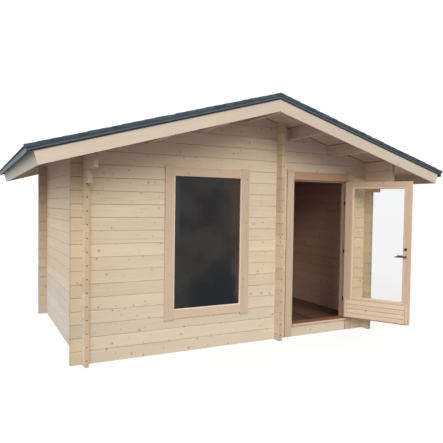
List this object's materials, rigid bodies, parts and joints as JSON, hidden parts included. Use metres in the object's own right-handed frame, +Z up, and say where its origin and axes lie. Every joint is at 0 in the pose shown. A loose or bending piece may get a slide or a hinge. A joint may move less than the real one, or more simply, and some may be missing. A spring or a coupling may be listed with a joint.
{
  "type": "outdoor log sauna",
  "caption": "Gabled log cabin sauna with notched, stepped log ends, a tall fixed window, a partition and an outward-opening glazed door with a lever handle.",
  "frame": {"origin": "centre of the footprint's outer wall faces, at ground level, on the underside of the middle floor bearer", "axes": "+X to the right seen from the front, +Y from the front wall to the back wall, +Z up"},
  "size_m": [4.9604, 4.0152, 2.8021],
  "materials": {
    "log_pine": "planed, untreated, knotty",
    "board_spruce": "planed, untreated",
    "threshold_pine": "oiled",
    "roofing_felt": "mineral-faced felt",
    "window_pane": "clear over a dark room",
    "door_pane": "clear",
    "black_steel": "satin black",
    "aged_brass": "aged, browned in the hollows"
  },
  "bodies": {
    "cabin": {"front_sill_log": "log_pine", "front_wall_corner": "log_pine", "front_wall_under_window": "log_pine", "front_wall_pier": "log_pine", "front_wall_hinge_side": "log_pine", "front_gable": "log_pine", "back_wall": "log_pine", "left_wall": "log_pine", "left_eaves_logs": "log_pine", "right_wall": "log_pine", "right_eaves_logs": "log_pine", "partition_sill_log": "log_pine", "partition_front": "log_pine", "partition_back": "log_pine", "partition_head": "log_pine", "floor_bearers": "log_pine", "ridge_purlin": "log_pine", "slope_purlins": "log_pine", "floor_boards": "board_spruce", "left_roof_boards": "board_spruce", "right_roof_boards": "board_spruce", "front_left_barge_board": "board_spruce", "front_right_barge_board": "board_spruce", "back_left_barge_board": "board_spruce", "back_right_barge_board": "board_spruce", "eave_fascias": "board_spruce", "window_frame": "board_spruce", "window_side_casings": "board_spruce", "window_cross_casings": "board_spruce", "door_jambs": "board_spruce", "door_head": "board_spruce", "door_side_casings": "board_spruce", "door_head_casing": "board_spruce", "threshold": "threshold_pine", "left_roofing": "roofing_felt", "right_roofing": "roofing_felt", "ridge_cap": "roofing_felt", "window_glass": "window_pane", "frame_hinges": "black_steel"},
    "door_leaf": {"leaf_frame": "board_spruce", "leaf_foot_boards": "board_spruce", "leaf_glass": "door_pane", "leaf_hinges": "black_steel", "handle_roses": "aged_brass"},
    "lever": {"lever_handle": "aged_brass"}
  },
  "joints": [
    {"name": "door_hinge", "type": "hinge", "parent": "cabin", "child": "door_leaf", "pos_m": [1.5145, -1.303, 1], "axis": [0, 0, 1], "range_deg": [-121, 21]},
    {"name": "lever_turn", "type": "hinge", "parent": "door_leaf", "child": "lever", "pos_m": [1.8853, -1.9744, 1.022], "axis": [-0.8572, -0.515, 0], "range_deg": [0, 40], "stiffness_Nm_per_rad": 1.5, "springref_deg": -28.65}
  ]
}
